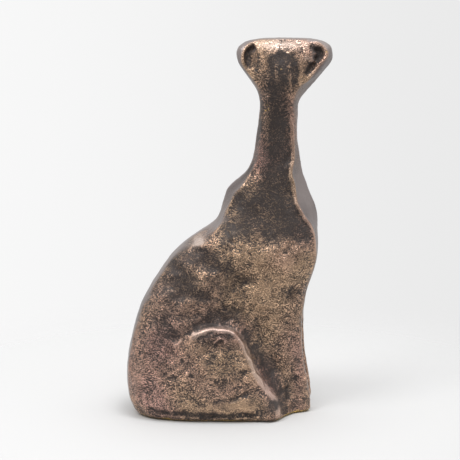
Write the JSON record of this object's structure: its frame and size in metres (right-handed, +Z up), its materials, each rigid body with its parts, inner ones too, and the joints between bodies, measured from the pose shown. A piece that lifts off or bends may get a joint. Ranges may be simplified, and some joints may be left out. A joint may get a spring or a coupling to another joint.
{
  "type": "seated hound statue",
  "caption": "Tabletop statue of a seated, long-necked hound with wide ears, cast in one piece in aged bronze with a rough hand-modelled surface.",
  "frame": {"origin": "middle of the footprint, on the surface that the statue stands on", "axes": "+Z up, +X the way the seated body faces in profile, -Y the side that the turned head looks to"},
  "size_m": [0.136, 0.0718, 0.25],
  "materials": {
    "aged_bronze": "rough cast bronze, near-black patina in the hollows, rubbed to a brown and pinkish bronze on the ridges"
  },
  "bodies": {
    "root": {"seated_figure": "aged_bronze"}
  },
  "joints": []
}
